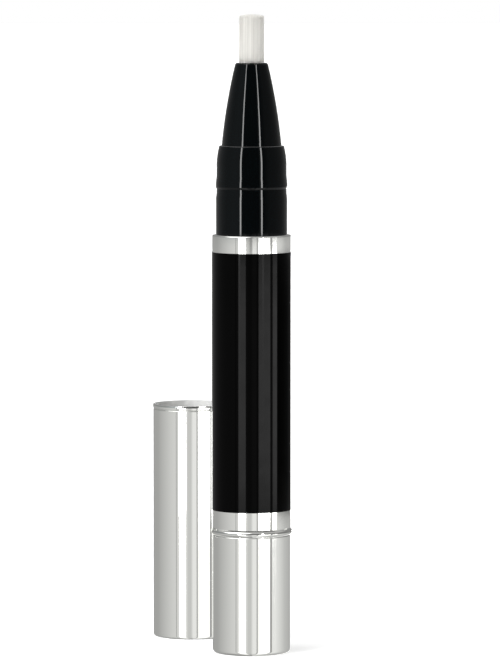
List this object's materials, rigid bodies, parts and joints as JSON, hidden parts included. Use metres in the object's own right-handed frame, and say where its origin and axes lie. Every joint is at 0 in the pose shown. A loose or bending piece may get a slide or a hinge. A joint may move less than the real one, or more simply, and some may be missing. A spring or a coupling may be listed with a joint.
{
  "type": "nail oil pen",
  "caption": "Twist-up nail oil pen with a brush tip: metal barrel with a film label, twist knob, screw-fed piston, and a loose metal cap standing beside it.",
  "frame": {"origin": "middle of the twist knob's flat end, where the pen stands on the table", "axes": "+Z along the pen towards the brush, -Y towards the viewer of the picture, the cap stands on the -X and +Y side"},
  "size_m": [0.0271, 0.04, 0.1219],
  "materials": {
    "polished_aluminium": "polished and clear anodised, mirror bright",
    "black_film": "gloss black printed film",
    "black_gloss": "gloss black moulding",
    "black_moulding": "plain black moulding",
    "natural_moulding": "natural milky moulding",
    "mechanism_moulding": "slippery white moulding",
    "seal_rubber": "soft black rubber",
    "ferrule_brass": "plain brass",
    "bristle": "off-white straight bristles"
  },
  "bodies": {
    "barrel": {"barrel_tube": "polished_aluminium", "label_wrap": "black_film", "inner_barrel": "black_gloss", "brush_cone": "black_gloss", "cone_seal": "seal_rubber", "tube_holder": "natural_moulding", "feed_tube": "natural_moulding", "brush_ferrule": "ferrule_brass", "brush_tuft": "bristle", "rod_nut": "mechanism_moulding", "ratchet_ring": "black_moulding", "tail_bush": "black_moulding"},
    "knob": {"knob_shell": "polished_aluminium", "knob_core": "black_moulding", "drive_sleeve": "mechanism_moulding", "click_spring": "mechanism_moulding"},
    "screw": {"screw_rod": "mechanism_moulding"},
    "piston": {"piston": "natural_moulding", "piston_seals": "seal_rubber"},
    "cap": {"cap_shell": "polished_aluminium", "cap_liner": "natural_moulding"}
  },
  "joints": [
    {"name": "knob_turn", "type": "hinge", "parent": "barrel", "child": "knob", "pos_m": [0, 0, 0.02405], "axis": [0, 0, 1], "range_deg": [0, 7200], "deforming": ["click_spring"]},
    {"name": "rod_feed", "type": "slide", "parent": "knob", "child": "screw", "axis": [0, 0, 1], "range_m": [0, 0.03]},
    {"name": "piston_feed", "type": "slide", "parent": "barrel", "child": "piston", "axis": [0, 0, 1], "range_m": [0, 0.03]},
    {"name": "cap_lift", "type": "slide", "parent": "barrel", "child": "cap", "axis": [0, 0, 1], "range_m": [0, 0.125]}
  ],
  "couplings": [
    {"joint": "knob_turn", "follows": "rod_feed", "rad_per_m": 4188.8},
    {"joint": "piston_feed", "follows": "rod_feed", "ratio": 1}
  ]
}
